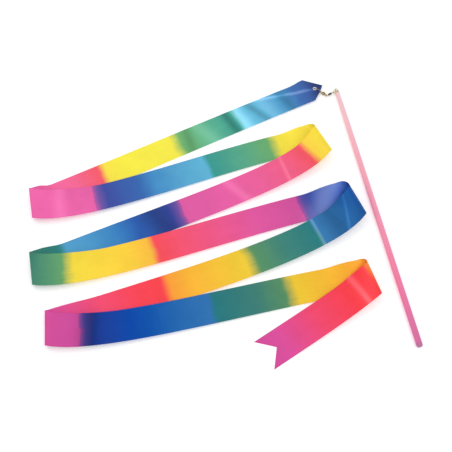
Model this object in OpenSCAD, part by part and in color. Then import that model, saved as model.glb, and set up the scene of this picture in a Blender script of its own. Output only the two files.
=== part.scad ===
// Rhythmic ribbon wand, laid flat for display: a slim stick, a spinning tip eye, a link ring,
// a barrel swivel, a snap clasp and a long ribbon laid in three flat S bends.
// Units are millimetres. +Z is up and the table is z = 0.

/* [Stick] */
// Length of the stick from the round butt to the end of the metal tip
stick_len = 500; // [480:1:520]
// Diameter of the stick along its grip and shaft
stick_d = 9.5; // [9:0.1:11]
// Diameter of the stick at its tip
tip_d = 8; // [7.6:0.1:8.4]
// Length of the taper that ends at the tip
taper_len = 60; // [30:1:90]
// Diameter of the fibreglass rod inside the coloured sleeve
core_d = 6.2; // [5.6:0.1:6.6]

/* [Link] */
// Diameter of the wire of the tip eye and the link ring
wire_d = 1.2; // [1:0.05:1.2]
// Radius of the link ring, to the middle of its wire
link_r = 4; // [3.9:0.05:4.2]
// Diameter of the barrel of the swivel
barrel_d = 3.8; // [3.4:0.1:4.2]
// Length of the barrel of the swivel
barrel_len = 7; // [6.5:0.1:7]

/* [Clasp] */
// Diameter of the wire of the clasp's claw
claw_d = 1.4; // [1.2:0.05:1.4]
// Angle from the clasp's plane at which the gate's thumb nub leans
nub_lean = 25; // [15:1:30]

/* [Ribbon] */
// Width of the ribbon
ribbon_w = 50; // [48:1:50]
// Thickness of the ribbon
ribbon_t = 0.4; // [0.3:0.05:0.4]
// Depth of the notch between the two points of the tail
notch = 23; // [15:1:25]

/* [Eyelet] */
// Diameter of the eyelet's flange
flange_d = 7.6; // [7:0.1:8.4]
// Diameter of the hole through the eyelet
eyelet_hole_d = 5; // [4.9:0.1:5.2]

/* [Hidden] */
$fn = 64;
// Overlap that joins two shapes of one solid
joint_lap = 0.2;
// Running clearance on a radius
running = 0.05;
// Thinnest gap left between linked wires
link_gap = 0.13;
// Shift that centres the laid-out wand on the origin
layout_shift = [0.6, 1.5, 0];

// ---- Stick: local +Z runs from the butt to the tip ----
butt_at = [304.4, -247.2];
stick_heading = 98.77;
stick_z = stick_d / 2;
cap_skirt = 6;
cap_stem = 8;
ferrule_len = 6;
ferrule_stem = 7;
ferrule_z = stick_len - ferrule_len;
eye_loop_r = 2.6;
eye_shank_r = 1;
eye_centre = stick_len + 3.8;
collar_r = 2.2;
collar_len = 1.2;
collar_pocket = 3;
stem_r = core_d / 2;
sleeve_bore_r = stem_r + running;

// ---- Link ring, hung from the tip eye ----
function heading(angle) = [cos(angle), sin(angle), 0];
stick_dir = heading(stick_heading);
eye_at = [butt_at.x, butt_at.y, stick_z] + eye_centre * stick_dir;
link_heading = -135;
link_offset = eye_loop_r - wire_d - running + link_r;
link_at = eye_at + link_offset * heading(link_heading);
link_far = link_at + link_r * heading(link_heading);

// ---- Barrel swivel, threaded on the far side of the link ring ----
swivel_heading = -151.5;
swivel_slope = 6.85;
swivel_wire_r = 0.45;
swivel_loop_r = 1.6;
swivel_neck = 3;
swivel_head_r = 1;
swivel_head_len = 0.8;
barrel_wall = 0.7;
barrel_cavity_r = barrel_d / 2 - 0.55;
swivel_dir = [
    cos(swivel_slope) * cos(swivel_heading), cos(swivel_slope) * sin(swivel_heading), -sin(swivel_slope)
];
thread_offset = swivel_loop_r - swivel_wire_r - wire_d / 2 - link_gap;
swivel_at = link_far + thread_offset * swivel_dir;
swivel_len = 2 * swivel_neck + barrel_len;
swivel_end = swivel_at + swivel_len * swivel_dir;

// ---- Clasp: local +X runs from the eyelet to the clasp's tail ----
eyelet_at = [187.9, 254.6];
clasp_z = swivel_end.z;
clasp_vec = [swivel_end.x - eyelet_at.x, swivel_end.y - eyelet_at.y];
clasp_heading = atan2(clasp_vec.y, clasp_vec.x);
clasp_reach = norm(clasp_vec);
claw_r = claw_d / 2;
claw_bend_r = 2.35;
claw_bend_x = 0.9;
claw_end_x = 13.2;
tail_ring_r = 2;
tail_ring_x = clasp_reach - thread_offset - tail_ring_r;
cheek_x = 17.5;
clasp_w = 2.8;
slot_w = 1.5;
gate_w = 1.3;
pivot_x = 19.3;
pivot_z = 1.7;
pin_r = 0.55;
knuckle_r = 1.2;
slot_floor = -1.2;

// ---- Ribbon end: two layers held by the eyelet ----
tab_z = 3.3;
patch_t = 0.5;
flange_t = 0.4;
eyelet_wall = 0.4;
eyelet_barrel_r = eyelet_hole_d / 2 + eyelet_wall;
tab_blunt = [[197.1, 247.4], [202.1, 263.1]];
tab_peak = [165.6, 276];

// ---- Ribbon path ----
// Height of the middle of the cloth where its near edge lies on the table
edge_z = ribbon_t / 2;
run_steps = 20;
turn_steps = 10;
// Share of the last run that its last step takes, so that the notch fits inside one step
tail_share = 0.14;
// Columns of each row in the table of turns
SIDE = 0;
LOOP_R = 3;
LEAN = 4;
RISE = 5;
SLANT = 6;
OVER = 7;
HANDLE_IN = 8;
HANDLE_OUT = 9;
REACH_IN = 10;
REACH_OUT = 11;
LIFT = 12;
DROP = 13;
CURL = 14;
// Each turn: side (1 right, -1 left), x and y of its axis at the near edge, radius of the roll, lean of
// the axis from +Y, rise of the axis, slant of the wrap, angle past half a turn, handle lengths and
// easing distances of the runs before and after it, the height that the run after it keeps, how far the
// wrap slips down its axis, and the share by which its slant grows half way round
TURNS = [
    [-1, -289.5, -28, 6, 11, 15, 17, 10, 150, 100, 45, 120, 4, 0, 0],
    [1, 194, 105, 10.5, 32, 12, 20, 16, 165, 85, 65, 35, 4, 6, 0.8],
    [-1, -271, -147, 5.5, 10, 16, 16, 7, 260, 100, 60, 120, 6, 0, 0],
    [1, 239.5, -21, 10, 32, 20, 20, 3, 200, 100, 75, 40, 5, 6, 0.8],
    [-1, -237, -244, 5.5, 6, 10, 15, 10, 170, 90, 90, 110, 5, 0, 0],
    [1, 249.5, -163, 8.5, 25, 20, 16, 8, 180, 60, 70, 35, 7, 2, 0.8]
];
start_at = [187, 226.5, tab_z];
start_heading = 206;
start_lean = 26;
start_handle = 150;
start_reach = 10;
tail_at = [91, -279, edge_z];
tail_heading = 214;
tail_lean = 34.5;
tail_handle = 65;
// Columns of a station: point on the near edge, direction of travel, lean and rise of the ruling
AT = 0;
GOING = 1;
ST_LEAN = 2;
ST_RISE = 3;

function unit(v) = v / norm(v);
function ease(t) = let (c = max(0, min(1, t))) c * c * (3 - 2 * c);
function fold_heading(h) = h - 180 * round(h / 180);
function ruling(lean, rise) = [-sin(lean) * cos(rise), cos(lean) * cos(rise), sin(rise)];
function bezier(a, b, c, d, u) =
    let (v = 1 - u) v * v * v * a + 3 * v * v * u * b + 3 * v * u * u * c + u * u * u * d;
function bezier_slope(a, b, c, d, u) =
    let (v = 1 - u) v * v * (b - a) + 2 * v * u * (c - b) + u * u * (d - c);
function running_length(pts) =
    [for (i = 0, s = 0; i < len(pts); i = i + 1, s = i < len(pts) ? s + norm(pts[i] - pts[i - 1]) : s) s];

// Bulge of the slant: 0 at both ends of a wrap, steepest half way round
function bulge(u) = u * pow(1 - u * u, 2);

// One station of turn k, with the wrap angle w going from 0 to a little over 180
function turn_station(k, w) =
    let (
        turn = TURNS[k],
        axis = ruling(turn[LEAN], turn[RISE]),
        out = turn[SIDE] * heading(turn[LEAN]),
        normal = cross(out, axis),
        up = normal.z > 0 ? normal : -normal,
        centre = [turn.y, turn.z, edge_z + turn[LOOP_R] * up.z],
        wound = (w - 90) * PI / 180 + turn[CURL] * PI / 2 * bulge(min(1, w / 90 - 1)),
        slip = turn[DROP] * (ease(w / 180) - 0.5),
        climb = turn[LOOP_R] * wound * tan(turn[SLANT]) + slip,
        point = centre + turn[LOOP_R] * (sin(w) * out - cos(w) * up) - climb * axis,
        going = cos(turn[SLANT]) * (cos(w) * out + sin(w) * up) - sin(turn[SLANT]) * axis
    )
    [point, going, turn[LEAN], turn[RISE]];
function turn_exit(k) = turn_station(k, 180 + TURNS[k][OVER]);
function turn_stations(k) =
    [for (j = [0:turn_steps]) turn_station(k, (180 + TURNS[k][OVER]) * j / turn_steps)];

last_run = len(TURNS);
START = [start_at, heading(start_heading), start_lean, 0];
TAIL = [tail_at, heading(tail_heading), tail_lean, 0];

// Share of the way along run k at its step i
function run_share(k, i) =
    k < last_run ? i / run_steps : i < run_steps ? i / (run_steps - 1) * (1 - tail_share) : 1;

// The stations between two turns, on a curve whose ruling eases from one turn's to the next one's
function run_stations(k) =
    let (
        from = k == 0 ? START : turn_exit(k - 1),
        to = k == last_run ? TAIL : turn_station(k, 0),
        handle_out = k == 0 ? start_handle : TURNS[k - 1][HANDLE_OUT],
        reach_out = k == 0 ? start_reach : TURNS[k - 1][REACH_OUT],
        low = k == 0 ? edge_z : edge_z + TURNS[k - 1][LIFT],
        handle_in = k == last_run ? tail_handle : TURNS[k][HANDLE_IN],
        reach_in = k == last_run ? 1 : TURNS[k][REACH_IN],
        a = from[AT],
        leave = a + handle_out * from[GOING],
        b = k == 0 ? [leave.x, leave.y, low] : [leave.x, leave.y, max(leave.z, low)],
        d = to[AT],
        arrive = d - handle_in * to[GOING],
        c = [arrive.x, arrive.y, edge_z],
        pts = [for (i = [0:run_steps]) bezier(a, b, c, d, run_share(k, i))],
        dist = running_length(pts),
        total = dist[run_steps],
        first = k == 0 ? 0 : 1,
        last = k == last_run ? run_steps : run_steps - 1
    )
    [
        for (i = [first:last])
            let (
                going = unit(bezier_slope(a, b, c, d, run_share(k, i))),
                square = fold_heading(atan2(going.y, going.x)),
                near_from = ease(1 - dist[i] / reach_out),
                near_to = ease(1 - (total - dist[i]) / reach_in),
                lean = square + (from[ST_LEAN] - square) * near_from + (to[ST_LEAN] - square) * near_to,
                rise = from[ST_RISE] * near_from + to[ST_RISE] * near_to
            )
            [pts[i], going, lean, rise]
    ];
STATIONS = [for (k = [0:last_run]) each concat(run_stations(k), k < last_run ? turn_stations(k) : [])];

// A section across the ribbon: near, middle and far points
function section(st, pull) =
    let (
        axis = ruling(st[ST_LEAN], st[ST_RISE]),
        across = axis * ribbon_w / norm(cross(axis, st[GOING]))
    )
    [st[AT], st[AT] + across / 2 - pull * st[GOING], st[AT] + across];
function section_normal(st) = unit(cross(st[GOING], ruling(st[ST_LEAN], st[ST_RISE])));
function flat_section(near, far) =
    let (n = [near.x, near.y, tab_z], f = [far.x, far.y, tab_z]) [n, (n + f) / 2, f];

SECTIONS = concat(
    [flat_section(tab_blunt[0], tab_blunt[1]), flat_section(start_at, tab_peak)],
    [for (i = [1:len(STATIONS) - 1]) section(STATIONS[i], i == len(STATIONS) - 1 ? notch : 0)]
);
NORMALS = concat([[0, 0, -1], [0, 0, -1]], [for (i = [1:len(STATIONS) - 1]) section_normal(STATIONS[i])]);

// ---- Frames that the pieces are drawn in ----
module on_stick() {
    translate(layout_shift)
        translate([butt_at.x, butt_at.y, stick_z])
            rotate([0, 0, stick_heading])
                rotate([0, 90, 0])
                    children();
}

module on_swivel() {
    translate(layout_shift)
        translate(swivel_at)
            rotate([0, swivel_slope, swivel_heading])
                children();
}

module on_clasp() {
    translate(layout_shift)
        translate([eyelet_at.x, eyelet_at.y, clasp_z])
            rotate([0, 0, clasp_heading])
                children();
}

module at_eyelet(z) {
    translate(layout_shift)
        translate([eyelet_at.x, eyelet_at.y, z])
            children();
}

// ---- Shapes that repeat ----
module wire_ring(ring_r, wire_r) {
    rotate_extrude()
        translate([ring_r, 0])
            circle(r = wire_r);
}

module tube(h, outer_r, inner_r) {
    difference() {
        cylinder(h = h, r = outer_r);
        translate([0, 0, -1])
            cylinder(h = h + 2, r = inner_r);
    }
}

// Wire along local +X
module wire_x(len, wire_r) {
    rotate([0, 90, 0])
        cylinder(h = len, r = wire_r);
}

// Plate of thickness w standing in the local XZ plane
module upright_plate(points, w) {
    translate([0, w / 2, 0])
        rotate([90, 0, 0])
            linear_extrude(height = w)
                polygon(points);
}

// ---- Stick ----
module stick_sleeve() {
    straight = ferrule_z - cap_skirt - taper_len;
    color("#f4a6bb")
        on_stick()
            difference() {
                union() {
                    translate([0, 0, cap_skirt])
                        cylinder(h = straight, r = stick_d / 2);
                    translate([0, 0, cap_skirt + straight])
                        cylinder(h = taper_len, r1 = stick_d / 2, r2 = tip_d / 2);
                }
                translate([0, 0, cap_skirt - 1])
                    cylinder(h = ferrule_z, r = sleeve_bore_r);
            }
}

module core_rod() {
    rod_start = cap_skirt + cap_stem + 0.5;
    color("#e8e0c8")
        on_stick()
            translate([0, 0, rod_start])
                cylinder(h = ferrule_z - ferrule_stem - 0.5 - rod_start, r = core_d / 2);
}

module butt_cap() {
    dome = 4;
    color("#b4749f")
        on_stick() {
            rotate_extrude()
                union() {
                    translate([0, dome])
                        square([stick_d / 2, cap_skirt - dome]);
                    translate([0, dome])
                        intersection() {
                            translate([stick_d / 2 - dome, 0])
                                circle(r = dome);
                            translate([0, -dome])
                                square([stick_d / 2, dome]);
                        }
                    square([stick_d / 2 - dome, dome + joint_lap]);
                    translate([0, cap_skirt - joint_lap])
                        square([stem_r, cap_stem + joint_lap]);
                }
        }
}

module tip_ferrule() {
    chamfer = 1;
    color("#c9b58a")
        on_stick()
            difference() {
                union() {
                    translate([0, 0, ferrule_z - ferrule_stem])
                        cylinder(h = ferrule_stem + joint_lap, r = stem_r);
                    translate([0, 0, ferrule_z])
                        cylinder(h = ferrule_len - chamfer, r = tip_d / 2);
                    translate([0, 0, stick_len - chamfer])
                        cylinder(h = chamfer, r1 = tip_d / 2, r2 = tip_d / 2 - chamfer);
                }
                translate([0, 0, ferrule_z - ferrule_stem - 1])
                    cylinder(h = ferrule_len + ferrule_stem + 2, r = eye_shank_r + running);
                translate([0, 0, ferrule_z - ferrule_stem - 1])
                    cylinder(h = collar_pocket + 1, r = collar_r + 0.2);
            }
}

// ---- Spinning tip eye ----
module tip_eye() {
    shank_start = ferrule_z - ferrule_stem + collar_pocket - 0.1 - collar_len;
    color("#c9b58a")
        on_stick() {
            translate([0, 0, shank_start])
                cylinder(h = eye_centre - eye_loop_r - shank_start, r = eye_shank_r);
            translate([0, 0, eye_centre])
                rotate([0, 90, 0])
                    wire_ring(eye_loop_r, wire_d / 2);
        }
}

module tip_eye_collar() {
    color("#a8a8ac")
        on_stick()
            translate([0, 0, ferrule_z - ferrule_stem + collar_pocket - 0.1 - collar_len])
                tube(collar_len, collar_r, eye_shank_r);
}

// ---- Link ring ----
module link_ring() {
    color("#d8c08a")
        translate(layout_shift)
            translate(link_at)
                rotate([0, 0, link_heading])
                    rotate([90, 0, 0])
                        wire_ring(link_r, wire_d / 2);
}

// ---- Barrel swivel ----
// A looped wire with a head, its loop at the origin and its shank along +X
module headed_eye() {
    shank_len = swivel_neck + barrel_wall + 0.1;
    wire_ring(swivel_loop_r, swivel_wire_r);
    translate([swivel_loop_r, 0, 0])
        wire_x(shank_len - swivel_loop_r + joint_lap, swivel_wire_r);
    translate([shank_len, 0, 0])
        wire_x(swivel_head_len, swivel_head_r);
}

module swivel_eye_stick_side() {
    color("#d2b67c")
        on_swivel()
            headed_eye();
}

module swivel_barrel() {
    nose = 0.9;
    color("#55555c")
        on_swivel()
            translate([swivel_neck, 0, 0])
                rotate([0, 90, 0])
                    difference() {
                        union() {
                            cylinder(h = nose, r1 = barrel_d / 2 - 0.6, r2 = barrel_d / 2);
                            translate([0, 0, nose])
                                cylinder(h = barrel_len - 2 * nose, r = barrel_d / 2);
                            translate([0, 0, barrel_len - nose])
                                cylinder(h = nose, r1 = barrel_d / 2, r2 = barrel_d / 2 - 0.6);
                        }
                        translate([0, 0, -1])
                            cylinder(h = barrel_len + 2, r = swivel_wire_r + running);
                        translate([0, 0, barrel_wall])
                            cylinder(h = barrel_len - 2 * barrel_wall, r = barrel_cavity_r);
                    }
}

module swivel_eye_ribbon_side() {
    color("#d2b67c")
        on_swivel()
            translate([swivel_len, 0, 0])
                rotate([0, 0, 180])
                    headed_eye();
}

// ---- Snap clasp ----
module clasp_body() {
    bar_len = cheek_x + 1 - claw_bend_x;
    housing_end = tail_ring_x - tail_ring_r + 0.4;
    color("#b39555")
        on_clasp()
            difference() {
                union() {
                    // Claw: lower bar, nose and upper arm
                    translate([claw_bend_x, 0, -claw_bend_r])
                        wire_x(bar_len, claw_r);
                    translate([claw_bend_x, 0, 0])
                        rotate([90, 0, 0])
                            rotate([0, 0, 90])
                                rotate_extrude(angle = 180)
                                    translate([claw_bend_r, 0])
                                        circle(r = claw_r);
                    translate([claw_bend_x, 0, claw_bend_r])
                        wire_x(claw_end_x - claw_bend_x, claw_r);
                    translate([claw_end_x, 0, claw_bend_r])
                        sphere(r = claw_r);
                    // Housing of the gate
                    upright_plate([
                        [cheek_x, -3], [pivot_x + 1.4, -3], [housing_end, -1.1], [housing_end, 1.1],
                        [pivot_x + 1.7, 3.1], [cheek_x, 3.1]
                    ], clasp_w);
                    // Tail ring
                    translate([tail_ring_x, 0, 0])
                        rotate([90, 0, 0])
                            wire_ring(tail_ring_r, wire_d / 2);
                }
                translate([cheek_x - 1, -slot_w / 2, slot_floor])
                    cube([pivot_x + 2.4 - cheek_x + 1, slot_w, 6]);
                translate([pivot_x, 2, pivot_z])
                    rotate([90, 0, 0])
                        cylinder(h = 4, r = pin_r + 0.02);
            }
}

module clasp_pin() {
    color("#8f8f95")
        on_clasp()
            translate([pivot_x, clasp_w / 2 + 0.1, pivot_z])
                rotate([90, 0, 0])
                    cylinder(h = clasp_w + 0.2, r = pin_r);
}

module clasp_gate() {
    color("#c7a868")
        on_clasp()
            difference() {
                union() {
                    translate([pivot_x, gate_w / 2, pivot_z])
                        rotate([90, 0, 0])
                            cylinder(h = gate_w, r = knuckle_r);
                    upright_plate([
                        [claw_end_x - 0.8, 0.7], [pivot_x, pivot_z - 0.8], [pivot_x, pivot_z + 1],
                        [cheek_x - 0.6, 2.2], [claw_end_x - 0.8, 1.5]
                    ], gate_w);
                    // Thumb nub
                    upright_plate([
                        [pivot_x - 0.7, pivot_z + 0.7], [pivot_x + 0.7, pivot_z + 0.7],
                        [pivot_x + 0.4 + 2 * tan(nub_lean), pivot_z + 2.7],
                        [pivot_x - 0.4 + 2 * tan(nub_lean), pivot_z + 2.7]
                    ], gate_w);
                }
                translate([pivot_x, 2, pivot_z])
                    rotate([90, 0, 0])
                        cylinder(h = 4, r = pin_r + running);
            }
}

module clasp_spring() {
    leaf_w = 1;
    color("#d0d0d4")
        on_clasp()
            upright_plate([
                [cheek_x + 0.3, slot_floor], [pivot_x + 2, slot_floor], [pivot_x + 2.2, slot_floor + 0.35],
                [pivot_x - 1.2, 0.35], [pivot_x - 1.4, 0.15], [pivot_x + 1.7, slot_floor + 0.25],
                [cheek_x + 0.3, slot_floor + 0.2]
            ], leaf_w);
}

// ---- Ribbon ----
// Corner number of side s (0 or 1), column c (0 to 2) at section i
function corner(i, s, c) = 6 * i + 3 * s + c;
// The two triangles of a quadrilateral
function split(a, b, c, d) = [[a, b, c], [a, c, d]];
function skin(i, s, c) =
    let (a = corner(i, s, c), b = corner(i + 1, s, c), d = corner(i, s, c + 1), e = corner(i + 1, s, c + 1))
    s == 0 ? split(a, d, e, b) : split(a, b, e, d);
function selvedge(i, c) =
    let (a = corner(i, 0, c), b = corner(i + 1, 0, c), d = corner(i, 1, c), e = corner(i + 1, 1, c))
    c == 0 ? split(a, b, e, d) : split(a, d, e, b);
function end_cap(i, c, first) =
    let (a = corner(i, 0, c), b = corner(i, 0, c + 1), d = corner(i, 1, c), e = corner(i, 1, c + 1))
    first ? split(a, d, e, b) : split(a, b, e, d);

module ribbon() {
    last_section = len(SECTIONS) - 1;
    points = [
        for (i = [0:last_section])
            for (s = [0, 1])
                for (c = [0:2])
                    SECTIONS[i][c] + (s == 0 ? 1 : -1) * ribbon_t / 2 * NORMALS[i]
    ];
    faces = [
        for (i = [0:last_section - 1]) each concat(
            [for (s = [0, 1]) for (c = [0, 1]) each skin(i, s, c)],
            [for (c = [0, 2]) each selvedge(i, c)]
        ),
        for (c = [0, 1]) each end_cap(0, c, true),
        for (c = [0, 1]) each end_cap(last_section, c, false)
    ];
    color("#3f7fc0")
        difference() {
            translate(layout_shift)
                polyhedron(points = points, faces = faces, convexity = 20);
            at_eyelet(tab_z - 2)
                cylinder(h = 4, r = eyelet_barrel_r);
        }
}

// Reinforcing patch under the folded point of the ribbon
module end_patch() {
    patch_far = [184, 266.5];
    patch_near = [179, 246];
    color("#5b3f8e")
        difference() {
            translate(layout_shift)
                translate([0, 0, tab_z - ribbon_t / 2 - patch_t])
                    linear_extrude(height = patch_t)
                        polygon([tab_blunt[0], tab_blunt[1] + [0.6, -0.2], patch_far, patch_near]);
            at_eyelet(tab_z - 3)
                cylinder(h = 4, r = eyelet_barrel_r);
        }
}

// Eyelet: flange on top with the barrel that passes through both layers
module eyelet_flange() {
    top = tab_z + ribbon_t / 2;
    depth = ribbon_t + patch_t + flange_t;
    color("#e6e6ea")
        difference() {
            union() {
                at_eyelet(top)
                    cylinder(h = flange_t, r1 = flange_d / 2, r2 = flange_d / 2 - 0.3);
                at_eyelet(top - depth)
                    cylinder(h = depth + joint_lap, r = eyelet_barrel_r);
            }
            at_eyelet(top - depth - 1)
                cylinder(h = depth + 3, r = eyelet_hole_d / 2);
        }
}

module eyelet_washer() {
    color("#d8d8dc")
        at_eyelet(tab_z - ribbon_t / 2 - patch_t - flange_t)
            tube(flange_t, flange_d / 2, eyelet_barrel_r);
}

stick_sleeve();
core_rod();
butt_cap();
tip_ferrule();
tip_eye();
tip_eye_collar();
link_ring();
swivel_eye_stick_side();
swivel_barrel();
swivel_eye_ribbon_side();
clasp_body();
clasp_pin();
clasp_gate();
clasp_spring();
ribbon();
end_patch();
eyelet_flange();
eyelet_washer();
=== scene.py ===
"""Rhythmic ribbon wand, laid out on a pale table.

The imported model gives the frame: the stick, the swivel hardware and where the ribbon lies.
This script dresses those parts and makes the satin ribbon as cloth.
"""

import logging
import math
import random
from dataclasses import dataclass, field
from enum import Enum

import bpy
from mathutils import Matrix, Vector


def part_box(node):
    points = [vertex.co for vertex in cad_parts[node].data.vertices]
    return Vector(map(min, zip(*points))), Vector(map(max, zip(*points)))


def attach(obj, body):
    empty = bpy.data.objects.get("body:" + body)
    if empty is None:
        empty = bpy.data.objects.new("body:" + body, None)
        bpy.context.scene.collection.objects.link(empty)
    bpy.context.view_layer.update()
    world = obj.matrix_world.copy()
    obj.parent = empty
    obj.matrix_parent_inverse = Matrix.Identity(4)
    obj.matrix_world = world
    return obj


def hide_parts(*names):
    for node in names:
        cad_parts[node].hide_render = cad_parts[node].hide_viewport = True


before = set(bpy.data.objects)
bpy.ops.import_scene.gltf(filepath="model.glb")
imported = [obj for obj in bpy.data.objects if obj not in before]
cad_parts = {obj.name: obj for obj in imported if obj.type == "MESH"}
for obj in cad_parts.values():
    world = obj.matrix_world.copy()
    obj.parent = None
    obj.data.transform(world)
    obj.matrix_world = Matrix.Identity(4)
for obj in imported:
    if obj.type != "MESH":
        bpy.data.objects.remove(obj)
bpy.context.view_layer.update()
LOG = logging.getLogger("ribbon_wand")
MM = 0.001


class Side(Enum):
    """Which way a turn of the ribbon goes, seen by someone walking along it."""

    LEFT = -1
    RIGHT = 1


class Axis(Enum):
    """Which part of the cloth's UV map a pattern reads."""

    ALONG = 0
    ACROSS = 1


class MixSocket(Enum):
    """Where a colour Mix node keeps its sockets."""

    FACTOR = 0
    FIRST = 6
    SECOND = 7
    RESULT = 2


# --------------------------------------------------------------------------- shader maths


class Wire:
    """One shader socket, or a plain number, that can be used in Python arithmetic."""

    def __init__(self, tree: bpy.types.NodeTree, socket: object) -> None:
        """Wrap a socket of tree."""
        self.tree = tree
        self.socket = socket

    def _math(self, operation: str, first: object, second: object) -> "Wire":
        """Add one Math node.

        Args:
            operation: Blender's name of the operation.
            first: a Wire or a number.
            second: a Wire or a number.

        Returns:
            The node's result.
        """
        node = self.tree.nodes.new("ShaderNodeMath")
        node.operation = operation
        for slot, value in enumerate((first, second)):
            if isinstance(value, Wire):
                self.tree.links.new(value.socket, node.inputs[slot])
            else:
                node.inputs[slot].default_value = value
        return Wire(self.tree, node.outputs[0])

    def __add__(self, other: object) -> "Wire":
        """Return self + other."""
        return self._math("ADD", self, other)

    def __sub__(self, other: object) -> "Wire":
        """Return self - other."""
        return self._math("SUBTRACT", self, other)

    def __mul__(self, other: object) -> "Wire":
        """Return self * other."""
        return self._math("MULTIPLY", self, other)

    def __truediv__(self, other: object) -> "Wire":
        """Return self / other."""
        return self._math("DIVIDE", self, other)

    def sine(self) -> "Wire":
        """Return the sine of self."""
        return self._math("SINE", self, 0.0)

    def above(self, level: float) -> "Wire":
        """Return 1 where self is over level, and 0 elsewhere."""
        return self._math("GREATER_THAN", self, level)

    def fraction(self) -> "Wire":
        """Return the part of self after the decimal point."""
        return self._math("FRACT", self, 0.0)

    def over_zero(self) -> "Wire":
        """Return self where it is positive, and 0 elsewhere."""
        return self._math("MAXIMUM", self, 0.0)

    def distance_to(self, level: float) -> "Wire":
        """Return how far self is from level."""
        return self._math("ABSOLUTE", self - level, 0.0)


class Paint:
    """A new material with a Principled shader, and the methods that wire it."""

    def __init__(self, name: str, **constants: object) -> None:
        """Make the material.

        Args:
            name: the material's name.
            constants: values of the shader's own sockets, with _ for a space in the name.
        """
        self.material = bpy.data.materials.new(name)
        self.material.use_nodes = True
        self.tree = self.material.node_tree
        self.shader = self.tree.nodes["Principled BSDF"]
        for key, value in constants.items():
            self.shader.inputs[key.replace("_", " ")].default_value = value

    def node(self, kind: str, settings: dict | None = None, **inputs: object) -> bpy.types.Node:
        """Add a node.

        Args:
            kind: the node's type.
            settings: the node's own properties, and "stops" for a colour ramp.
            inputs: values or Wires for its sockets, with _ for a space in the name.

        Returns:
            The node.
        """
        node = self.tree.nodes.new(kind)
        for key, value in (settings or {}).items():
            if key == "stops":
                self._set_stops(node.color_ramp, value)
            else:
                setattr(node, key, value)
        for key, value in inputs.items():
            socket = node.inputs[key.replace("_", " ")]
            if isinstance(value, Wire):
                self.tree.links.new(value.socket, socket)
            else:
                socket.default_value = value
        return node

    @staticmethod
    def _set_stops(ramp: bpy.types.ColorRamp, stops: list) -> None:
        """Give a colour ramp its stops, each a place and a colour."""
        while len(ramp.elements) > 1:
            ramp.elements.remove(ramp.elements[-1])
        ramp.elements[0].position = stops[0][0]
        ramp.elements[0].color = stops[0][1]
        for place, colour in stops[1:]:
            ramp.elements.new(place).color = colour

    def out(self, node: bpy.types.Node, name: str | int = 0) -> Wire:
        """Return one output of node as a Wire."""
        return Wire(self.tree, node.outputs[name])

    def feed(self, socket: str, value: Wire) -> None:
        """Link value into one of the shader's sockets."""
        self.tree.links.new(value.socket, self.shader.inputs[socket])

    def object_place(self) -> Wire:
        """Return the place on the piece, in its own metres."""
        return self.out(self.node("ShaderNodeTexCoord"), "Object")

    def noise(self, place: Wire, scale: float, detail: float = 3.0) -> Wire:
        """Return a noise pattern between 0 and 1 at place."""
        return self.out(self.node("ShaderNodeTexNoise", None, Vector=place, Scale=scale, Detail=detail), 0)

    def stretched(self, place: Wire, factors: tuple) -> Wire:
        """Return place with each axis multiplied by its factor."""
        node = self.node("ShaderNodeMapping", {"vector_type": "POINT"}, Vector=place, Scale=factors)
        return self.out(node)

    def plain(self, colour: tuple) -> Wire:
        """Return one colour, given in linear light."""
        node = self.node("ShaderNodeRGB")
        node.outputs[0].default_value = colour
        return self.out(node)

    def ramp(self, share: Wire, stops: list) -> Wire:
        """Return the colour at share on a ramp of places and colours."""
        return self.out(self.node("ShaderNodeValToRGB", {"stops": stops}, Fac=share))

    def tinted(self, colour: Wire, tint: object, amount: Wire) -> Wire:
        """Mix colour towards tint, a colour or a Wire, by amount."""
        node = self.tree.nodes.new("ShaderNodeMix")
        node.data_type = "RGBA"
        second = node.inputs[MixSocket.SECOND.value]
        self.tree.links.new(amount.socket, node.inputs[MixSocket.FACTOR.value])
        self.tree.links.new(colour.socket, node.inputs[MixSocket.FIRST.value])
        if isinstance(tint, Wire):
            self.tree.links.new(tint.socket, second)
        else:
            second.default_value = tint
        return Wire(self.tree, node.outputs[MixSocket.RESULT.value])

    def brightened(self, colour: Wire, factor: Wire) -> Wire:
        """Multiply colour by factor."""
        node = self.node("ShaderNodeVectorMath", {"operation": "SCALE"})
        self.tree.links.new(colour.socket, node.inputs[0])
        self.tree.links.new(factor.socket, node.inputs["Scale"])
        return self.out(node)

    def bump(self, height: Wire, strength: float, depth: float) -> None:
        """Give the shader a bump of height, at most depth metres deep."""
        node = self.node("ShaderNodeBump", None, Height=height, Strength=strength, Distance=depth)
        self.feed("Normal", self.out(node))


def linear(text: str) -> tuple:
    """Turn a six-digit screen colour into linear light.

    Args:
        text: the colour, such as "ffe14a".

    Returns:
        Red, green, blue and an alpha of 1.
    """
    channels = [int(text[i:i + 2], 16) / 255 for i in (0, 2, 4)]
    light = [c / 12.92 if c <= 0.04045 else ((c + 0.055) / 1.055) ** 2.4 for c in channels]
    return (*light, 1.0)


# --------------------------------------------------------------------------- finishes


@dataclass(frozen=True)
class MetalFinish:
    """A plated or bare metal with a fine grain."""

    name: str
    colour: str
    worn: str
    roughness: float
    grain: float = 900.0

    def material(self) -> bpy.types.Material:
        """Build the material."""
        paint = Paint(self.name, Metallic=1.0)
        place = paint.object_place()
        cloud = paint.noise(place, self.grain, 4.0)
        tarnish = paint.noise(place, self.grain / 6, 2.0)
        base = paint.plain(linear(self.colour))
        paint.feed("Base Color", paint.tinted(base, linear(self.worn), tarnish * 0.7))
        paint.feed("Roughness", cloud * 0.18 + (self.roughness - 0.09))
        paint.bump(cloud, 0.25, 0.00004)
        return paint.material


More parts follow.
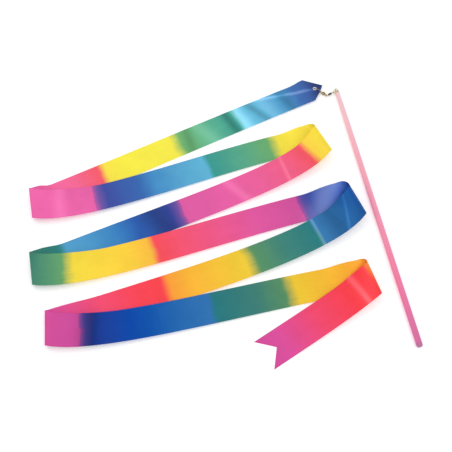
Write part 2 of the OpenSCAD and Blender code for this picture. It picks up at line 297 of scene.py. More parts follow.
@dataclass(frozen=True)
class FadedPlastic:
    """Glossy coloured plastic whose colour fades from one end of the stick to the other."""

    name: str
    start: Vector
    direction: Vector
    length: float
    shades: tuple

    def material(self) -> bpy.types.Material:
        """Build the material."""
        paint = Paint(self.name, Specular_IOR_Level=0.45, Coat_Weight=0.25, Coat_Roughness=0.18)
        place = paint.object_place()
        from_butt = paint.node("ShaderNodeVectorMath", {"operation": "SUBTRACT"})
        paint.tree.links.new(place.socket, from_butt.inputs[0])
        from_butt.inputs[1].default_value = self.start
        along = paint.node("ShaderNodeVectorMath", {"operation": "DOT_PRODUCT"})
        paint.tree.links.new(from_butt.outputs[0], along.inputs[0])
        along.inputs[1].default_value = self.direction / self.length
        share = paint.out(along, "Value")
        mottle = paint.noise(paint.stretched(place, (1.0, 0.25, 1.0)), 160.0, 4.0)
        steps = len(self.shades) - 1
        stops = [(i / steps, linear(shade)) for i, shade in enumerate(self.shades)]
        colour = paint.ramp(share + mottle * 0.02 - 0.01, stops)
        paint.feed("Base Color", paint.brightened(colour, mottle * 0.06 + 0.97))
        speck = paint.noise(place, 2600.0, 2.0)
        paint.feed("Roughness", mottle * 0.12 + speck * 0.06 + 0.24)
        paint.bump(mottle * 0.6 + speck * 0.4, 0.2, 0.00006)
        return paint.material


@dataclass(frozen=True)
class MouldedPlastic:
    """Plain moulded plastic with a faint flow mottle."""

    name: str
    colour: str
    dark: str
    roughness: float

    def material(self) -> bpy.types.Material:
        """Build the material."""
        paint = Paint(self.name, Specular_IOR_Level=0.45)
        place = paint.object_place()
        flow = paint.noise(place, 220.0, 3.0)
        base = paint.plain(linear(self.colour))
        paint.feed("Base Color", paint.tinted(base, linear(self.dark), flow * 0.35))
        paint.feed("Roughness", flow * 0.15 + (self.roughness - 0.07))
        paint.bump(flow, 0.2, 0.00005)
        return paint.material


@dataclass(frozen=True)
class Dye:
    """One dye of the rainbow: where it sits in the repeat, and its colour in a fresh and a deep bath."""

    place: float
    fresh: str
    deep: str


@dataclass(frozen=True)
class Rainbow:
    """The dyer's recipe: each repeat runs blue, green, yellow, red, pink, and each bath is deeper."""

    repeat: float = 714.2
    first: float = 55.5
    depths: tuple = (0.0, 0.25, 0.55, 0.9, 1.0)
    blend: float = 0.02
    dyes: tuple = (
        Dye(0, "c860aa", "a04a9c"),
        Dye(7, "7c5ca8", "5648a2"),
        Dye(22, "4652a4", "1a3c9a"),
        Dye(80, "4474b8", "0448a8"),
        Dye(108, "52a0d4", "0a54ac"),
        Dye(150, "64b8de", "2268b0"),
        Dye(199, "70ccea", "3274b4"),
        Dye(209, "42a89c", "287a80"),
        Dye(270, "66bc94", "3e8078"),
        Dye(318, "76bc76", "5a9264"),
        Dye(336, "fef250", "f4cc38"),
        Dye(425, "fdf14a", "fdb236"),
        Dye(460, "fce84c", "fd963a"),
        Dye(472, "f85e6a", "fa424a"),
        Dye(515, "f86c98", "f8404c"),
        Dye(575, "f36cac", "f24a6e"),
        Dye(640, "f268ae", "dc509c"),
        Dye(717.5, "ee68ac", "c84c9c"),
    )

    def bath(self, deep: bool) -> list:
        """Return the stops of one bath's colour ramp, over one repeat."""
        span = self.dyes[-1].place
        return [(dye.place / span, linear(dye.deep if deep else dye.fresh)) for dye in self.dyes]

    def depth_stops(self) -> list:
        """Return the stops of the ramp that says how deep the bath is, over all the repeats."""
        stops = [(0.0, (self.depths[0],) * 3 + (1.0,))]
        for number, (before, after) in enumerate(zip(self.depths, self.depths[1:]), 1):
            edge = number / len(self.depths)
            stops.append((edge - self.blend, (before,) * 3 + (1.0,)))
            stops.append((edge + self.blend, (after,) * 3 + (1.0,)))
        return stops


@dataclass(frozen=True)
class Satin:
    """Dyed satin. The dye, the threads and the selvedge follow the cloth's UV map, in millimetres.

    streak_wick, cloud_wick: how far the dye creeps along threads and in patches. The creases' painted
    highlight brightens the colour by painted_highlight_gain and tints it towards painted_highlight_tint by
    painted_highlight_share of that tint; their painted shade darkens it.
    """

    name: str
    rainbow: Rainbow = Rainbow()
    roughness: float = 0.4
    warp_pitch: float = 0.22
    weft_pitch: float = 0.5
    selvedge_width: float = 0.9
    cloth_width: float = 50.0
    streak_wick: float = 5.0
    cloud_wick: float = 12.0
    painted_highlight_gain: float = 1.1
    painted_highlight_tint: tuple = (0.85, 0.93, 1.0, 1.0)
    painted_highlight_share: float = 0.45

    def material(self) -> bpy.types.Material:
        """Build the material."""
        paint = Paint(self.name, Specular_IOR_Level=0.1, Metallic=0.35)
        cloth = paint.out(paint.node("ShaderNodeUVMap", {"uv_map": "cloth"}))
        parts = paint.node("ShaderNodeSeparateXYZ", None, Vector=cloth)
        along = paint.out(parts, Axis.ALONG.value)
        across = paint.out(parts, Axis.ACROSS.value)
        painted_light = paint.out(paint.node("ShaderNodeAttribute", {"attribute_name": "painted_light"}), "Fac")
        streaks = paint.noise(paint.stretched(cloth, (0.02, 1.0, 1.0)), 0.9, 3.0)
        clouds = paint.noise(cloth, 0.035, 3.0)

        wicking = (streaks - 0.5) * self.streak_wick + (clouds - 0.5) * self.cloud_wick
        turns = (along + wicking + self.rainbow.first) / self.rainbow.repeat
        fresh = paint.ramp(turns.fraction(), self.rainbow.bath(deep=False))
        deep = paint.ramp(turns.fraction(), self.rainbow.bath(deep=True))
        depth = paint.ramp(turns / len(self.rainbow.depths), self.rainbow.depth_stops())
        dye = paint.tinted(fresh, deep, depth)

        edge = across.distance_to(self.cloth_width / 2).above(self.cloth_width / 2 - self.selvedge_width)
        # The crease attribute's negative values are painted shade and its positive values painted highlight,
        # both laid into the base colour.
        shadow = (painted_light * -1.0).over_zero()
        painted_highlight = painted_light.over_zero()
        worn = (streaks - 0.5) * 0.12 + (clouds - 0.5) * 0.16 - edge * 0.06
        # Random tone and the darker selvedge, with the creases' painted shade and painted highlight.
        shade = worn - shadow + painted_highlight * self.painted_highlight_gain + 1.0
        lit = paint.brightened(dye, shade)
        paint.feed("Base Color", paint.tinted(lit, self.painted_highlight_tint, painted_highlight * self.painted_highlight_share))

        warp = (across * (2 * math.pi / self.warp_pitch)).sine()
        weft = (along * (2 * math.pi / self.weft_pitch) + across * (math.pi / self.warp_pitch)).sine()
        rough = (streaks - 0.5) * 0.12 + (clouds - 0.5) * 0.1 + edge * 0.1 - painted_highlight * 0.1
        paint.feed("Roughness", rough + self.roughness)
        paint.bump(warp * 0.25 + weft * 0.35 + edge * 0.8 + streaks * 0.5, 0.35, 0.00005)
        return paint.material


@dataclass(frozen=True)
class TableFinish:
    """The pale table top."""

    name: str = "pale_table"
    colour: tuple = (0.9, 0.9, 0.9, 1.0)
    glow: float = 0.25

    def material(self) -> bpy.types.Material:
        """Build the material."""
        paint = Paint(self.name, Roughness=0.9, Specular_IOR_Level=0.1, Emission_Strength=self.glow)
        paint.shader.inputs["Emission Color"].default_value = (1.0, 1.0, 1.0, 1.0)
        base = paint.plain(self.colour)
        paper = paint.noise(paint.object_place(), 3.0, 2.0)
        paint.feed("Base Color", paint.brightened(base, paper * 0.01 + 0.995))
        return paint.material


# --------------------------------------------------------------------------- ribbon


@dataclass(frozen=True)
class Turn:
    """One turn of the ribbon, rolled about an axis that leans and rises from the table.

    side: which way it turns. x, y: its axis at the near edge. radius: of the roll. lean, rise: of the
    axis. slant: of the wrap along the axis. over: degrees past half a turn. handle_in, handle_out:
    how far the runs before and after keep their heading. reach_in, reach_out: how far the twist
    spreads into them. lift: how high the run after it stays. drop: how far the wrap slips down its
    axis. curl: the share by which its slant grows half way round. Millimetres and degrees.
    """

    side: Side
    x: float
    y: float
    radius: float
    lean: float
    rise: float
    slant: float
    over: float
    handle_in: float
    handle_out: float
    reach_in: float
    reach_out: float
    lift: float
    drop: float = 0.0
    curl: float = 0.0


@dataclass
class Station:
    """One line across the ribbon: its point on the near edge, its heading, its lean and its rise."""

    point: Vector
    going: Vector
    lean: float
    rise: float

    def axis(self) -> Vector:
        """Return the unit vector from the near edge to the far one."""
        return ruling(self.lean, self.rise)


def heading(angle: float) -> Vector:
    """Return the level unit vector at an angle in degrees."""
    return Vector((math.cos(math.radians(angle)), math.sin(math.radians(angle)), 0.0))


def ruling(lean: float, rise: float) -> Vector:
    """Return the unit vector that leans from +Y and rises from the table, in degrees."""
    level = heading(lean + 90)
    up = math.radians(rise)
    return Vector((level.x * math.cos(up), level.y * math.cos(up), math.sin(up)))


def ease(share: float) -> float:
    """Return a smooth step from 0 to 1."""
    share = min(1.0, max(0.0, share))
    return share * share * (3 - 2 * share)


@dataclass
class RibbonPath:
    """The line that the ribbon lies along, and its twist. Millimetres and degrees."""

    width: float = 50.0
    thickness: float = 0.4
    shift: tuple = (0.6, 1.5, 0.0)
    start: tuple = (187.0, 226.5)
    tab_z: float = 3.3
    start_heading: float = 206.0
    start_lean: float = 26.0
    start_handle: float = 150.0
    start_reach: float = 10.0
    tail: tuple = (91.0, -279.0)
    tail_heading: float = 214.0
    tail_lean: float = 34.5
    tail_handle: float = 65.0
    tab_near: tuple = (197.1, 247.4)
    tab_far: tuple = (202.1, 263.1)
    peak: tuple = (165.6, 276.0)
    run_step: float = 2.8
    turn_steps: int = 28
    turns: tuple = (
        Turn(Side.LEFT, -289.5, -28, 6, 11, 15, 17, 10, 150, 100, 45, 120, 4),
        Turn(Side.RIGHT, 194, 105, 10.5, 32, 12, 20, 16, 165, 85, 65, 35, 4, 6, 0.8),
        Turn(Side.LEFT, -271, -147, 5.5, 10, 16, 16, 7, 260, 100, 60, 120, 6),
        Turn(Side.RIGHT, 239.5, -21, 10, 32, 20, 20, 3, 200, 100, 75, 40, 5, 6, 0.8),
        Turn(Side.LEFT, -237, -244, 5.5, 6, 10, 15, 10, 170, 90, 90, 110, 5),
        Turn(Side.RIGHT, 249.5, -163, 8.5, 25, 20, 16, 8, 180, 60, 70, 35, 7, 2, 0.8),
    )

    @property
    def edge_z(self) -> float:
        """Height of the middle of the cloth where its edge lies on the table."""
        return self.thickness / 2

    def turn_station(self, turn: Turn, wrap: float) -> Station:
        """Return the station of a turn at a wrap angle from 0 to a little over 180 degrees."""
        axis = ruling(turn.lean, turn.rise)
        out = turn.side.value * heading(turn.lean)
        up = out.cross(axis)
        if up.z < 0:
            up = -up
        angle, slant = math.radians(wrap), math.radians(turn.slant)
        centre = Vector((turn.x, turn.y, self.edge_z + turn.radius * up.z))
        bulge = min(1.0, wrap / 90 - 1)
        bulge *= (1 - bulge * bulge) ** 2
        wound = math.radians(wrap - 90) + turn.curl * math.pi / 2 * bulge
        climb = turn.radius * wound * math.tan(slant) + turn.drop * (ease(wrap / 180) - 0.5)
        point = centre + turn.radius * (math.sin(angle) * out - math.cos(angle) * up) - climb * axis
        round_going = math.cos(angle) * out + math.sin(angle) * up
        going = math.cos(slant) * round_going - math.sin(slant) * axis
        return Station(point, going, turn.lean, turn.rise)

    def _run(self, number: int) -> list[Station]:
        """Return the stations of one run, between the turn before it and the turn after it."""
        before = self.turns[number - 1] if number else None
        after = self.turns[number] if number < len(self.turns) else None
        if before:
            leave = self.turn_station(before, 180 + before.over)
            handle_out, reach_out = before.handle_out, before.reach_out
            low = self.edge_z + before.lift
        else:
            first = Vector((*self.start, self.tab_z))
            leave = Station(first, heading(self.start_heading), self.start_lean, 0)
            handle_out, reach_out, low = self.start_handle, self.start_reach, self.edge_z
        if after:
            arrive = self.turn_station(after, 0)
            handle_in, reach_in = after.handle_in, after.reach_in
        else:
            last = Vector((*self.tail, self.edge_z))
            arrive = Station(last, heading(self.tail_heading), self.tail_lean, 0)
            handle_in, reach_in = self.tail_handle, 1.0
        a, d = leave.point, arrive.point
        b = a + handle_out * leave.going
        b.z = max(b.z, low) if before else low
        c = d - handle_in * arrive.going
        c.z = self.edge_z
        steps = max(8, round((d - a).length / self.run_step))
        points = [self._bezier(a, b, c, d, i / steps) for i in range(steps + 1)]
        distance = [0.0]
        for one, two in zip(points, points[1:]):
            distance.append(distance[-1] + (two - one).length)
        stations = []
        for i in range(1 if before else 0, steps if after else steps + 1):
            going = self._slope(a, b, c, d, i / steps)
            bearing = math.degrees(math.atan2(going.y, going.x))
            square = bearing - 180 * round(bearing / 180)
            near_start = ease(1 - distance[i] / reach_out)
            near_end = ease(1 - (distance[-1] - distance[i]) / reach_in)
            lean = square + (leave.lean - square) * near_start + (arrive.lean - square) * near_end
            rise = leave.rise * near_start + arrive.rise * near_end
            stations.append(Station(points[i], going, lean, rise))
        return stations

    @staticmethod
    def _bezier(a: Vector, b: Vector, c: Vector, d: Vector, share: float) -> Vector:
        """Return a point on a cubic curve."""
        rest = 1 - share
        return rest**3 * a + 3 * rest * rest * share * b + 3 * rest * share * share * c + share**3 * d

    @staticmethod
    def _slope(a: Vector, b: Vector, c: Vector, d: Vector, share: float) -> Vector:
        """Return the unit vector along a cubic curve."""
        rest = 1 - share
        slope = rest * rest * (b - a) + 2 * rest * share * (c - b) + share * share * (d - c)
        return slope.normalized()

    def stations(self) -> list[Station]:
        """Return every station from the stick's end to the tail."""
        found = []
        for number in range(len(self.turns) + 1):
            found += self._run(number)
            if number < len(self.turns):
                turn = self.turns[number]
                step = (180 + turn.over) / self.turn_steps
                found += [self.turn_station(turn, step * j) for j in range(self.turn_steps + 1)]
        return found


@dataclass(frozen=True)
class Crease:
    """A soft fold across the ribbon. Millimetres.

    place: where it meets the near edge. lean: how much further along it meets the far edge. width: of
    the fold. tone: painted highlight on the fold, or if negative painted shade, laid into the cloth's colour.
    lift: its height.
    """

    place: float
    lean: float
    width: float
    tone: float
    lift: float = 0.0

    def strength(self, along: float, across: float, cloth_width: float) -> float:
        """Return how much of the fold is felt at a place on the cloth, from 0 to 1."""
        offset = (along - self.place - self.lean * across / cloth_width) / self.width
        return math.exp(-offset * offset * 2)


def woven(name: str, rows: list, marks: list, painted_tones: list) -> bpy.types.Object:
    """Make a flat piece of cloth, with its UV map and its creases' painted highlights and painted shade.

    Args:
        name: of the piece.
        rows: rows of points across the cloth, in metres.
        marks: each point's place along and across the cloth, in millimetres, row by row.
        painted_tones: each point's painted highlight, or if negative painted shade, row by row.

    Returns:
        The piece, without a thickness.
    """
    width = len(rows[0])
    faces = [
        (i * width + j, (i + 1) * width + j, (i + 1) * width + j + 1, i * width + j + 1)
        for i in range(len(rows) - 1)
        for j in range(width - 1)
    ]
    mesh = bpy.data.meshes.new(name)
    mesh.from_pydata([tuple(point) for row in rows for point in row], [], faces)
    piece = bpy.data.objects.new(name, mesh)
    bpy.context.scene.collection.objects.link(piece)
    cloth = mesh.uv_layers.new(name="cloth")
    for loop in mesh.loops:
        cloth.data[loop.index].uv = marks[loop.vertex_index]
    # Each point's painted highlight (positive) and painted shade (negative), which the satin shader lays into
    # the colour.
    painted_light = mesh.attributes.new("painted_light", "FLOAT", "POINT")
    for number, tone in enumerate(painted_tones):
        painted_light.data[number].value = tone
    return piece


@dataclass
class RibbonCloth:
    """The satin ribbon as a solid sheet of cloth with a folded point and a swallow tail.

    columns, tab_rows: of faces across the cloth and along the tab. cloth: its thickness. notch: depth
    of the swallow tail, whose rows close up over tail_spread times that depth. flare: length over which
    the tab's far corner eases into the run. hole: the eyelet's. ripple: height of the soft waves, each
    drawn at random with a weight, a phase and a length, and skewed by wave_skew. Millimetres.
    """

    path: RibbonPath = field(default_factory=RibbonPath)
    # Fourth number of each crease: painted highlight, or if negative painted shade; fifth: the fold's real
    # height.
    creases: tuple = (
        Crease(-18, 0, 26, -0.52),
        Crease(-95, 190, 16, 0.42),
        Crease(46, 8, 14, -0.3, 0.5),
        Crease(86, 4, 22, 0.16, 0.3),
        Crease(99, 20, 11, -0.32, 0.6),
        Crease(140, 6, 18, 0.4, 0.3),
        Crease(160, 4, 13, -0.42, 0.6),
        Crease(206, 16, 20, 0.14, 0.7),
        Crease(250, -6, 14, -0.26, 0.5),
        Crease(600, 0, 16, 0.1, 0.3),
        Crease(1186, -10, 4, 0.16, 0.7),
        Crease(1265, 20, 12, 0.12, 0.4),
        Crease(1410, 10, 30, -0.36),
        Crease(1622, 0, 62, -0.34),
        Crease(2112, 30, 32, 0.36, 0.3),
        Crease(2208, 0, 30, -0.3),
        Crease(2252, 0, 34, -0.3),
        Crease(2243, -34, 4, 0.36, 0.5),
        Crease(2292, -6, 4, 0.3, 0.6),
        Crease(2816, 0, 22, -0.42),
        Crease(3296, 0, 6, 0.2, 0.4),
    )
    columns: int = 14
    tab_rows: int = 14
    cloth: float = 0.3
    notch: float = 23.0
    tail_spread: float = 2.2
    flare: float = 28.0
    hole: float = 2.95
    ripple: float = 0.12
    wave_count: int = 9
    wave_weights: tuple = (0.6, 1.4)
    wave_lengths: tuple = (35, 120)
    wave_phase: float = 6.3
    wave_skew: float = 0.8
    seed: int = 7

    def build(self, finish: Satin) -> bpy.types.Object:
        """Make the ribbon.

        Args:
            finish: the satin it is made of.

        Returns:
            The finished piece.
        """
        rows, marks = self._rows()
        places = [mark for row in marks for mark in row]
        # Painted highlights and painted shade of the creases, one value per point.
        painted_tones = [self._painted_light_and_lift(along, across) for along, across in places]
        piece = woven("ribbon_cloth", [[point * MM for point in row] for row in rows], places, painted_tones)
        open_eyelet_hole(piece, self.hole)
        thicken(piece, self.cloth)
        piece.data.materials.append(finish.material())
        length = marks[-1][0][0] - marks[0][0][0]
        length * MM
        LOG.info("ribbon_cloth: %d rows, %.0f mm long", len(rows), length)
        return piece

    def _rows(self) -> tuple[list, list]:
        """Return the rows of points across the ribbon, and each point's place along and across the cloth."""
        path = self.path
        stations = path.stations()
        shares = [j / self.columns for j in range(self.columns + 1)]
        start_far = Vector((*path.peak, path.tab_z))
        rows, marks = self._tab(shares, start_far)
        far_shift = start_far - (stations[0].point + stations[0].axis() * path.width)
        run = 0.0
        for i, station in enumerate(stations):
            if i:
                run += (station.point - stations[i - 1].point).length
            axis = station.axis()
            square = axis.cross(station.going).length
            across = axis * (path.width / square)
            along_far = across.dot(station.going)
            flare = ease(1 - run / self.flare)
            rows.append([station.point + across * c + far_shift * flare * c for c in shares])
            marks.append([(run + along_far * c, path.width * c) for c in shares])
        self._ripple(rows, marks)
        self._cut_tail(rows, marks)
        shift = Vector(path.shift)
        return [[p + shift for p in row] for row in rows], marks

    def _tab(self, shares: list, start_far: Vector) -> tuple[list, list]:
        """Return the rows and marks of the folded tab, which ends where the first run starts."""
        path = self.path
        first_near = Vector((*path.tab_near, path.tab_z))
        first_far = Vector((*path.tab_far, path.tab_z))
        start_near = Vector((*path.start, path.tab_z))
        length = (start_near - first_near).length
        rows, marks = [], []
        for i in range(self.tab_rows):
            down = i / self.tab_rows
            near = first_near.lerp(start_near, down)
            far = first_far.lerp(start_far, down)
            rows.append([near.lerp(far, c) for c in shares])
            marks.append([((down - 1) * length, path.width * c) for c in shares])
        return rows, marks

    def _waves(self) -> list:
        """Return the soft waves, each a weight, a phase and a length."""
        draw = random.Random(self.seed).uniform
        return [
            (draw(*self.wave_weights), draw(0, self.wave_phase), draw(*self.wave_lengths))
            for _ in range(self.wave_count)
        ]

    def _ripple(self, rows: list, marks: list) -> None:
        """Raise the cloth in soft, shallow waves, as satin lies on a table."""
        waves = self._waves()
        for i, row in enumerate(rows):
            for j, point in enumerate(row):
                along, across = marks[i][j]
                skew = self.wave_skew * across
                swell = sum(
                    weight * math.sin(2 * math.pi * (along + skew * (-1) ** k) / length + phase)
                    for k, (weight, phase, length) in enumerate(waves)
                )
                middle = math.sin(math.pi * across / self.path.width)
                lift = self.ripple * (1 + swell / 4) * (0.3 + middle)
                lift += self._painted_light_and_lift(along, across, heights=True) * (0.3 + 0.7 * middle)
                row[j] = point + Vector((0, 0, max(0.0, lift)))

    def _cut_tail(self, rows: list, marks: list) -> None:
        """Slide the last rows back so that the end is a swallow tail."""
        end = marks[-1][0][0]
        zone = self.notch * self.tail_spread
        count = sum(1 for mark in marks if end - mark[0][0] < zone)
        first = len(rows) - count
        going = (rows[-1][0] - rows[-2][0]).normalized()
        for i in range(first, len(rows)):
            share = (i - first + 1) / count
            for j in range(self.columns + 1):
                back = self.notch * (1 - abs(2 * j / self.columns - 1)) * share
                rows[i][j] = rows[i][j] - going * back
                marks[i][j] = (marks[i][j][0] - back, marks[i][j][1])

    def _painted_light_and_lift(self, along: float, across: float, heights: bool = False) -> float:
        """Return the creases' painted highlight and painted shade, or if heights is true their real height,
        at a place on the cloth.
        """
        total = 0.0
        for crease in self.creases:
            value = crease.lift if heights else crease.tone
            total += value * crease.strength(along, across, self.path.width)
        return total


# --------------------------------------------------------------------------- small parts


def only(piece: bpy.types.Object) -> None:
    """Select piece alone and make it the active object."""
    bpy.ops.object.select_all(action="DESELECT")
    piece.select_set(True)
    bpy.context.view_layer.objects.active = piece


def outward(piece: bpy.types.Object) -> None:
    """Make the faces of a closed piece point outwards."""
    only(piece)
    bpy.ops.object.mode_set(mode="EDIT")
    bpy.ops.mesh.select_all(action="SELECT")
    bpy.ops.mesh.normals_make_consistent(inside=False)
    bpy.ops.object.mode_set(mode="OBJECT")


def thicken(piece: bpy.types.Object, thickness: float) -> None:
    """Turn a flat mesh into a closed sheet.

    Args:
        piece: the mesh, which lies on the sheet's middle.
        thickness: of the sheet, in millimetres.
    """
    only(piece)
    solid = piece.modifiers.new("cloth", "SOLIDIFY")
    solid.thickness = thickness * MM
    solid.offset = 0.0
    solid.use_even_offset = True
    bpy.ops.object.modifier_apply(modifier=solid.name)
    outward(piece)
    bpy.ops.object.shade_smooth_by_angle(angle=math.radians(50))


def open_eyelet_hole(piece: bpy.types.Object, radius: float) -> None:
    """Open a round hole in a flat mesh where the eyelet passes through it.

    Args:
        piece: the mesh, before it has a thickness.
        radius: of the hole, in millimetres.
    """
    # Shares of the radius: faces that come nearer are cut out, and points up to the second move
    cut, gathered = 0.8, 1.6
    # How much of the points' own spacing is kept where they are gathered to the hole's edge
    spacing = 0.2
    low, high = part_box("eyelet_flange")
    centre = (low + high) / 2
    size = radius * MM
    mesh = piece.data

    def reach(vertex: bpy.types.MeshVertex) -> float:
        """Return how far a vertex is from the eyelet's axis."""
        return math.hypot(vertex.co.x - centre.x, vertex.co.y - centre.y)

    only(piece)
    bpy.ops.object.mode_set(mode="EDIT")
    bpy.ops.mesh.select_mode(type="FACE")
    bpy.ops.mesh.select_all(action="DESELECT")
    bpy.ops.object.mode_set(mode="OBJECT")
    for face in mesh.polygons:
        face.select = min(reach(mesh.vertices[v]) for v in face.vertices) < size * cut
    bpy.ops.object.mode_set(mode="EDIT")
    bpy.ops.mesh.delete(type="FACE")
    bpy.ops.object.mode_set(mode="OBJECT")
    for vertex in mesh.vertices:
        gap = reach(vertex)
        if gap < size * gathered:
            scale = (size + (gap - size * cut) * spacing) / gap
            vertex.co.x = centre.x + (vertex.co.x - centre.x) * scale
            vertex.co.y = centre.y + (vertex.co.y - centre.y) * scale


@dataclass
class EndPatch:
    """The patch of doubled satin under the folded point, which the eyelet grips. Millimetres.

    blunt, wide: its two ends, each from the near corner to the far one. cut_along, cut_across: where
    and how long, and where and how wide, it was cut from the dyed satin.
    """

    blunt: tuple = ((197.1, 247.4), (202.7, 262.9))
    wide: tuple = ((179.0, 246.0), (184.0, 266.5))
    shift: tuple = (0.6, 1.5)
    cut_along: tuple = (-40.0, 18)
    cut_across: tuple = (14, 20)
    rows: int = 16
    columns: int = 16
    cloth: float = 0.36
    hole: float = 2.95

    def build(self, finish: Satin) -> bpy.types.Object:
        """Make the patch.

        Args:
            finish: the satin it is made of.

        Returns:
            The finished piece.
        """
        low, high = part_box("end_patch")
        level = (low.z + high.z) / 2
        near, far = Vector(self.blunt[0]), Vector(self.blunt[1])
        wide_near, wide_far = Vector(self.wide[0]), Vector(self.wide[1])
        rows, marks = [], []
        for i in range(self.rows + 1):
            share = i / self.rows
            start, end = near.lerp(wide_near, share), far.lerp(wide_far, share)
            places = [start.lerp(end, j / self.columns) + Vector(self.shift) for j in range(self.columns + 1)]
            rows.append([(place.x * MM, place.y * MM, level) for place in places])
            along = self.cut_along[0] + self.cut_along[1] * share
            first, wide = self.cut_across
            marks += [(along, first + wide * j / self.columns) for j in range(self.columns + 1)]
        piece = woven("end_patch_cloth", rows, marks, [0.0] * len(marks))
        open_eyelet_hole(piece, self.hole)
        thicken(piece, self.cloth)
        piece.data.materials.append(finish.material())
        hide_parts("end_patch")
        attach(piece, "ribbon")
        return piece


@dataclass
class Eyelet:
    """The eyelet's rolled flange, spun from its profile. Millimetres.

    profile: each corner's distance from the axis and height over the cloth. steps: segments of the
    turn. seat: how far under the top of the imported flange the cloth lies. merge: distance within
    which the turn's first and last rows are joined.
    """

    profile: tuple = (
        (2.5, -1.1), (2.5, 0.05), (2.58, 0.3), (2.8, 0.48), (3.15, 0.56), (3.5, 0.46), (3.74, 0.26),
        (3.8, 0.02), (3.66, -0.06), (3.45, 0.0), (3.1, 0.06), (2.9, -0.02), (2.88, -1.1),
    )
    steps: int = 48
    seat: float = 0.4
    merge: float = 0.01

    def build(self, finish: MetalFinish) -> bpy.types.Object:
        """Make the flange.

        Args:
            finish: the metal it is made of.

        Returns:
            The finished piece.
        """
        low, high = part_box("eyelet_flange")
        centre = Vector(((low.x + high.x) / 2, (low.y + high.y) / 2, high.z - self.seat * MM))
        bpy.ops.object.select_all(action="DESELECT")
        bpy.ops.mesh.primitive_circle_add(vertices=len(self.profile), radius=MM, location=(0, 0, 0))
        piece = bpy.context.object
        piece.name = "eyelet_rolled_flange"
        for vertex, (radius, height) in zip(piece.data.vertices, self.profile):
            vertex.co = centre + Vector((radius * MM, 0, height * MM))
        bpy.ops.object.mode_set(mode="EDIT")
        bpy.ops.mesh.select_all(action="SELECT")
        bpy.ops.mesh.spin(steps=self.steps, angle=2 * math.pi, center=centre, axis=(0, 0, 1))
        bpy.ops.mesh.select_all(action="SELECT")
        bpy.ops.mesh.remove_doubles(threshold=self.merge * MM)
        bpy.ops.mesh.normals_make_consistent(inside=False)
        bpy.ops.object.mode_set(mode="OBJECT")
        bpy.ops.object.shade_smooth_by_angle(angle=math.radians(40))
        piece.data.materials.append(finish.material())
        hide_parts("eyelet_flange")
        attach(piece, "ribbon")
        LOG.info("eyelet_rolled_flange: spun in %d steps", self.steps)
        return piece


@dataclass
class Hardware:
    """The CAD parts that keep their shape and get their finishes here."""

    shades: tuple = ("d4649c", "ee74a4", "f388aa", "f898b2", "f8a8ba", "f8bcc8", "f8cad0")

    def dress(self) -> None:
        """Give every carried-over part its material."""
        low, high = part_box("butt_cap")
        tip_low, tip_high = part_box("tip_ferrule")
        butt = (low + high) / 2
        tip = (tip_low + tip_high) / 2
        along = tip - butt
        sleeve = FadedPlastic("sleeve_plastic", butt, along.normalized(), along.length, self.shades)
        gilt = MetalFinish("gilt_plating", "e2d6b6", "b8a070", 0.28)
        claw = MetalFinish("clasp_plating", "b8a472", "7e6c40", 0.32)
        # Painted shade: the swivel barrel's dark grey colour stands in for the shading seen on it.
        dark = MetalFinish("barrel_painted_shade_plating", "5a5658", "38363a", 0.34)
        steel = MetalFinish("bright_steel", "c8c8cc", "9a9aa0", 0.25)
        nickel = MetalFinish("nickel", "f0f0f4", "c8c8d0", 0.16)
        finishes = {
            "stick_sleeve": sleeve.material(),
            "butt_cap": MouldedPlastic("cap_plastic", "c0709c", "9c5488", 0.3).material(),
            "core_rod": MouldedPlastic("fibreglass", "e6dfc4", "cfc49c", 0.55).material(),
            "tip_ferrule": gilt.material(),
            "tip_eye": gilt.material(),
            "tip_eye_collar": steel.material(),
            "link_ring": gilt.material(),
            "swivel_eye_stick_side": gilt.material(),
            "swivel_barrel": dark.material(),
            "swivel_eye_ribbon_side": gilt.material(),
            "clasp_body": claw.material(),
            "clasp_gate": claw.material(),
            "clasp_pin": steel.material(),
            "clasp_spring": steel.material(),
            "eyelet_washer": nickel.material(),
        }
        for name, material in finishes.items():
            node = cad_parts[name]
            for place in range(len(node.material_slots)):
                node.material_slots[place].material = material
            LOG.info("%s: dressed", name)


# --------------------------------------------------------------------------- set


@dataclass(frozen=True)
class SoftBox:
    """One square soft light: its name, its place, its side in metres and its power in watts."""

    name: str
    place: tuple
    size: float
    power: float


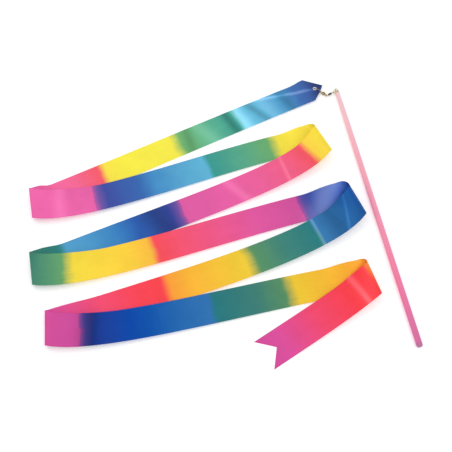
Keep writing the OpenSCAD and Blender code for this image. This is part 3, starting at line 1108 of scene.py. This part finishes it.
@dataclass
class Studio:
    """Camera, light and table. Metres, and degrees for the camera's elevation."""

    target: tuple = (0.0221, -0.0391, 0.0)
    distance: float = 0.987
    elevation: float = 60.0
    lens: float = 48.1
    sensor: float = 36
    clip_start: float = 0.01
    table_size: float = 14.0
    table_gap: float = 0.0002
    sky: float = 0.79
    boxes: tuple = (
        SoftBox("key_light", (0.5, -0.5, 1.5), 1.0, 4.5),
        SoftBox("fill_light", (-0.9, 0.5, 1.3), 0.9, 2.5),
    )

    def camera(self) -> None:
        """Make the camera and set it as the scene's."""
        up = math.radians(self.elevation)
        place = Vector(self.target) + self.distance * Vector((0, -math.cos(up), math.sin(up)))
        bpy.ops.object.camera_add(location=place, rotation=(math.radians(90) - up, 0, 0))
        camera = bpy.context.object
        camera.data.lens = self.lens
        camera.data.sensor_width = self.sensor
        camera.data.clip_start = self.clip_start
        bpy.context.scene.camera = camera
        bpy.context.scene.view_settings.view_transform = "Standard"

    def table(self) -> None:
        """Make the pale table top."""
        bpy.ops.object.select_all(action="DESELECT")
        bpy.ops.mesh.primitive_plane_add(size=self.table_size, location=(0, 0, -self.table_gap))
        table = bpy.context.object
        table.name = "pale_table"
        bpy.ops.object.transform_apply(location=True)
        table.data.materials.append(TableFinish().material())

    def lights(self) -> None:
        """Make a soft sky, and the soft boxes, which face the middle of the table."""
        world = bpy.data.worlds.new("soft_sky")
        world.use_nodes = True
        sky = world.node_tree.nodes["Background"]
        sky.inputs["Color"].default_value = (1.0, 1.0, 1.0, 1.0)
        sky.inputs["Strength"].default_value = self.sky
        bpy.context.scene.world = world
        for box in self.boxes:
            bpy.ops.object.light_add(type="AREA", location=box.place)
            light = bpy.context.object
            light.name = box.name
            light.data.size = box.size
            light.data.energy = box.power
            to_middle = -Vector(box.place)
            light.rotation_euler = to_middle.to_track_quat("-Z", "Y").to_euler()


def main() -> None:
    """Build the set and every piece."""
    logging.basicConfig(level=logging.INFO, format="%(name)s: %(message)s")
    studio = Studio()
    studio.camera()
    studio.table()
    studio.lights()
    Hardware().dress()
    ribbon = RibbonCloth().build(Satin("rainbow_satin"))
    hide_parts("ribbon")
    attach(ribbon, "ribbon")
    patch = EndPatch().build(Satin("patch_satin", roughness=0.48))
    LOG.info("%s: done", patch.name)
    Eyelet().build(MetalFinish("eyelet_nickel", "fafafc", "d8d8e0", 0.3))


if __name__ == "__main__":
    main()
